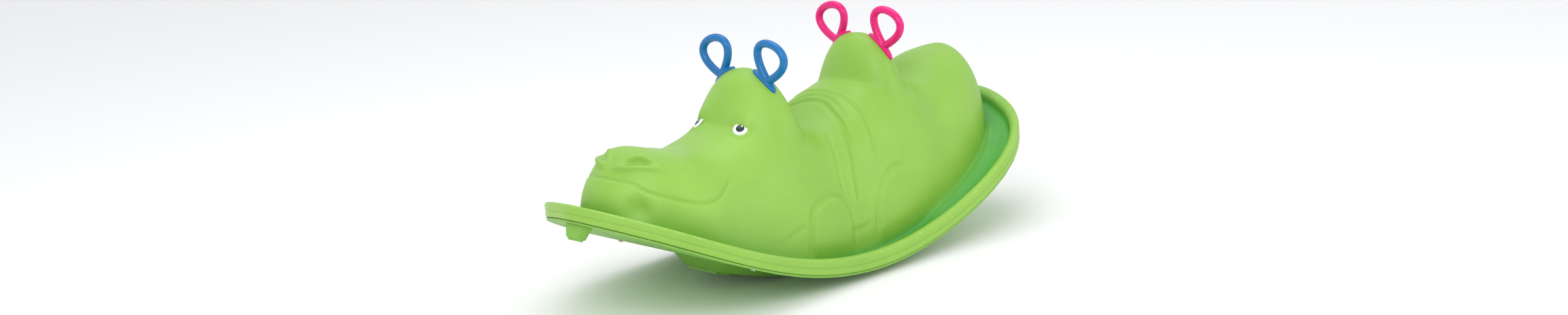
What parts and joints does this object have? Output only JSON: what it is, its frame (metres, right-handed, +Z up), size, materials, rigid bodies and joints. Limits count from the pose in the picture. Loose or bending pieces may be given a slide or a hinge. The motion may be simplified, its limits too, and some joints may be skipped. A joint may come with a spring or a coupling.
{
  "type": "rocking seesaw",
  "caption": "Hippo-shaped rocking seesaw for two small children: moulded body on a curved base, ear-shaped grip handles, foot trough and raised rim.",
  "frame": {"origin": "middle of the keel's flat, on the floor, under the middle of the bounding box", "axes": "+Z up, the hippo looks along -X, its left side is -Y"},
  "size_m": [1.03, 0.434, 0.4312],
  "materials": {
    "body_plastic": "moulded polyethylene, satin",
    "front_handle_plastic": "moulded, slightly glossy",
    "rear_handle_plastic": "moulded, slightly glossy",
    "eye_plastic": "smooth white",
    "pupil_plastic": "smooth dark blue-black",
    "zinced_steel": "zinc plated"
  },
  "bodies": {
    "root": {"body_shell": "body_plastic", "rocker_base": "body_plastic", "front_foot": "body_plastic", "front_stop_pad": "body_plastic", "front_ear_handle_left": "front_handle_plastic", "front_handle_washer_left": "zinced_steel", "front_handle_screw_left": "zinced_steel", "front_ear_handle_right": "front_handle_plastic", "front_handle_washer_right": "zinced_steel", "front_handle_screw_right": "zinced_steel", "rear_foot": "body_plastic", "rear_stop_pad": "body_plastic", "rear_ear_handle_left": "rear_handle_plastic", "rear_handle_washer_left": "zinced_steel", "rear_handle_screw_left": "zinced_steel", "rear_ear_handle_right": "rear_handle_plastic", "rear_handle_washer_right": "zinced_steel", "rear_handle_screw_right": "zinced_steel", "eye_white_left": "eye_plastic", "eye_pupil_left": "pupil_plastic", "eye_white_right": "eye_plastic", "eye_pupil_right": "pupil_plastic", "base_screw_01": "zinced_steel", "base_screw_02": "zinced_steel", "base_screw_03": "zinced_steel", "base_screw_04": "zinced_steel", "base_screw_05": "zinced_steel", "base_screw_06": "zinced_steel", "base_screw_07": "zinced_steel", "base_screw_08": "zinced_steel", "base_screw_09": "zinced_steel", "base_screw_10": "zinced_steel", "base_screw_11": "zinced_steel", "base_screw_12": "zinced_steel"}
  },
  "joints": []
}
